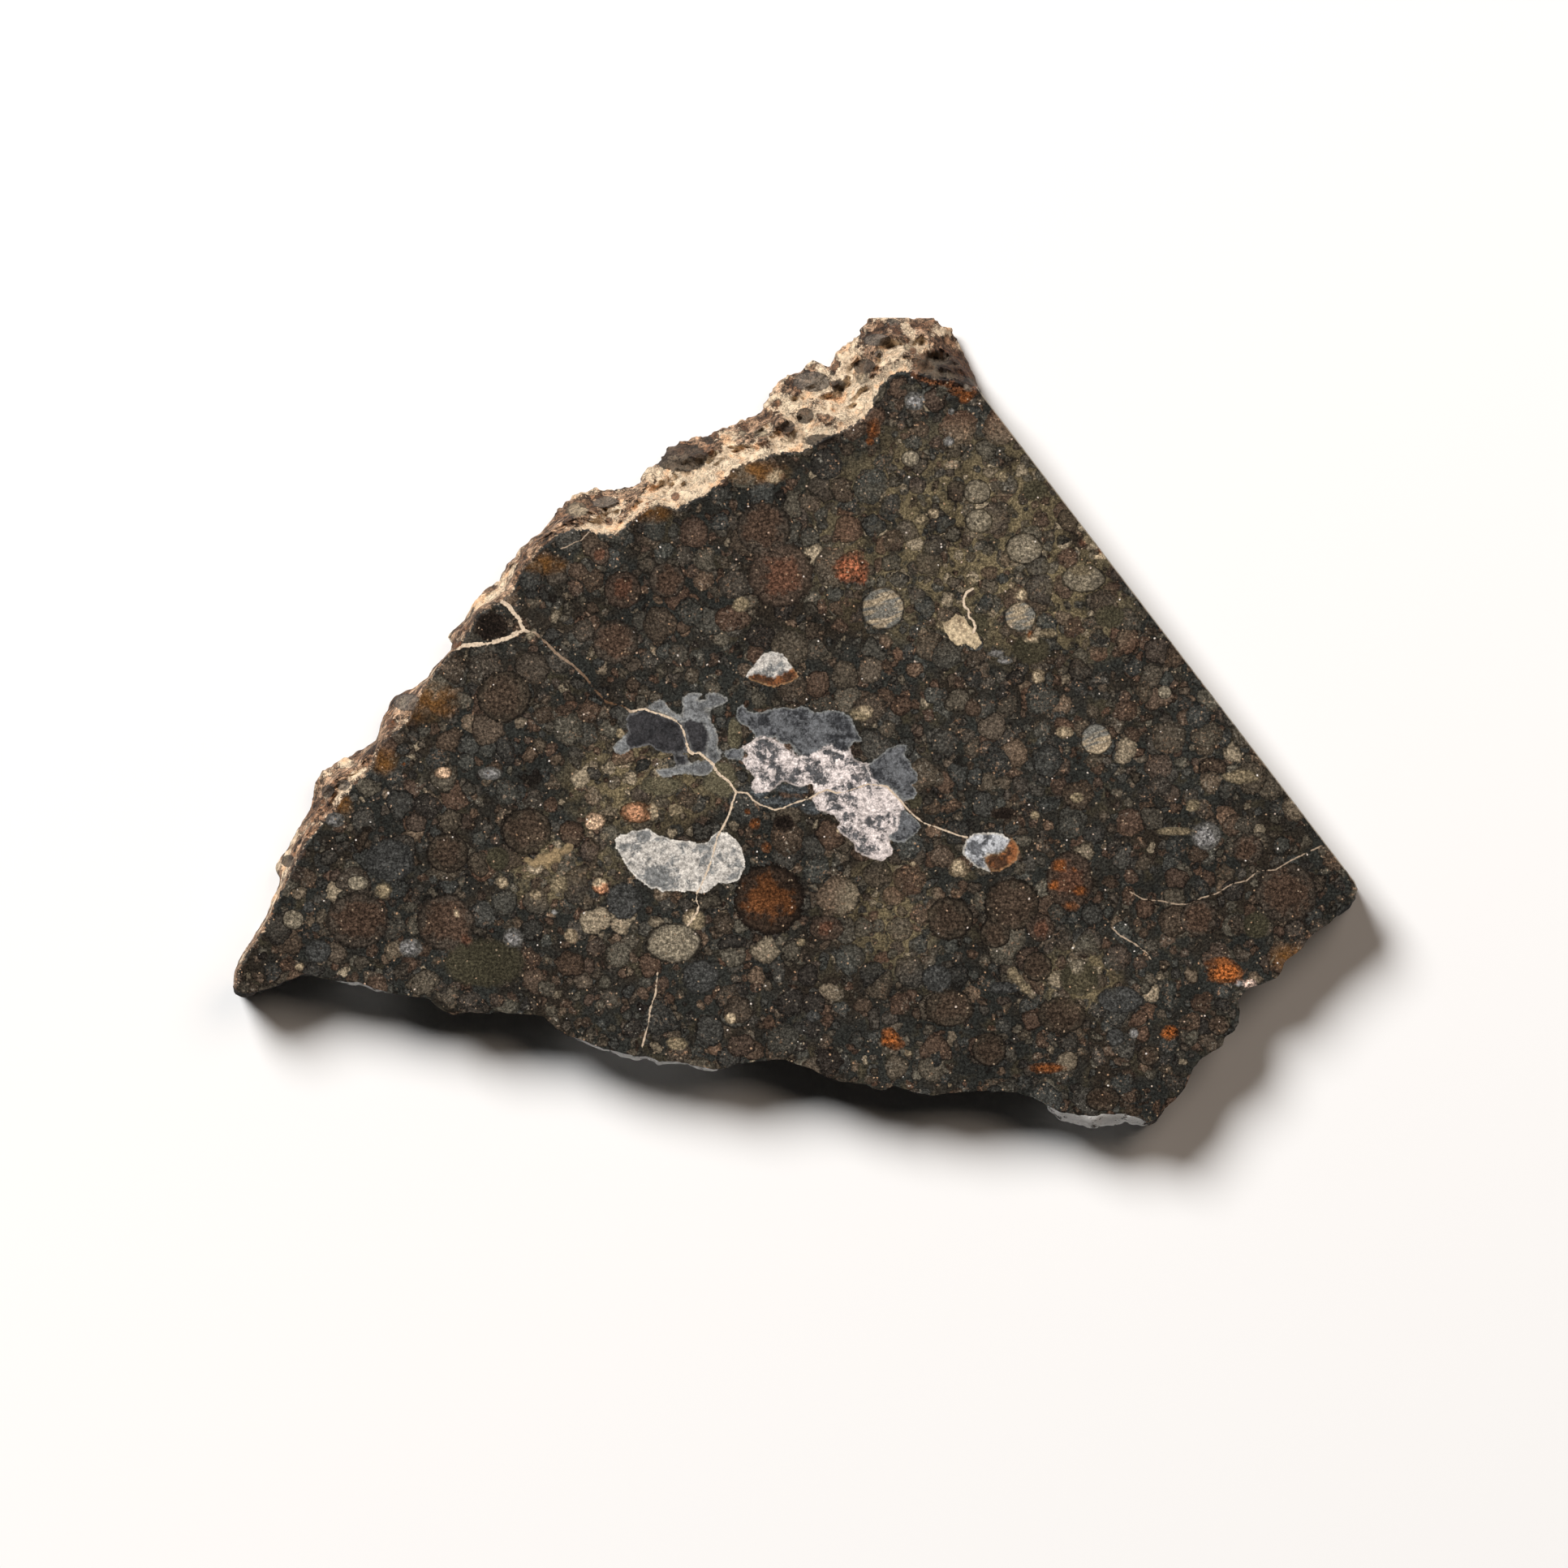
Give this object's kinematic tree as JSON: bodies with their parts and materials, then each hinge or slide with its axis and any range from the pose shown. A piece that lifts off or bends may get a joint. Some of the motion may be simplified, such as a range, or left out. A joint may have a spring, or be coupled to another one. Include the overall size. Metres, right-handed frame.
{
  "type": "meteorite slice",
  "caption": "Flat slice of a carbonaceous chondrite stone: polished faces, a straight saw cut, a sloping weathered crust edge and a rough broken edge. Rests on its flat underside.",
  "frame": {"origin": "centre of the bounding box, on the flat underside", "axes": "+X along the slice's length, towards the corner of the saw cut; +Y across it, towards the crust apex; +Z out of the polished face"},
  "size_m": [0.05, 0.036, 0.003],
  "materials": {
    "stone": "dark olive grey chondrite stone, sawn and satin polished, with a rough tan and brown crust edge"
  },
  "bodies": {
    "root": {"meteorite_slice": "stone"}
  },
  "joints": []
}
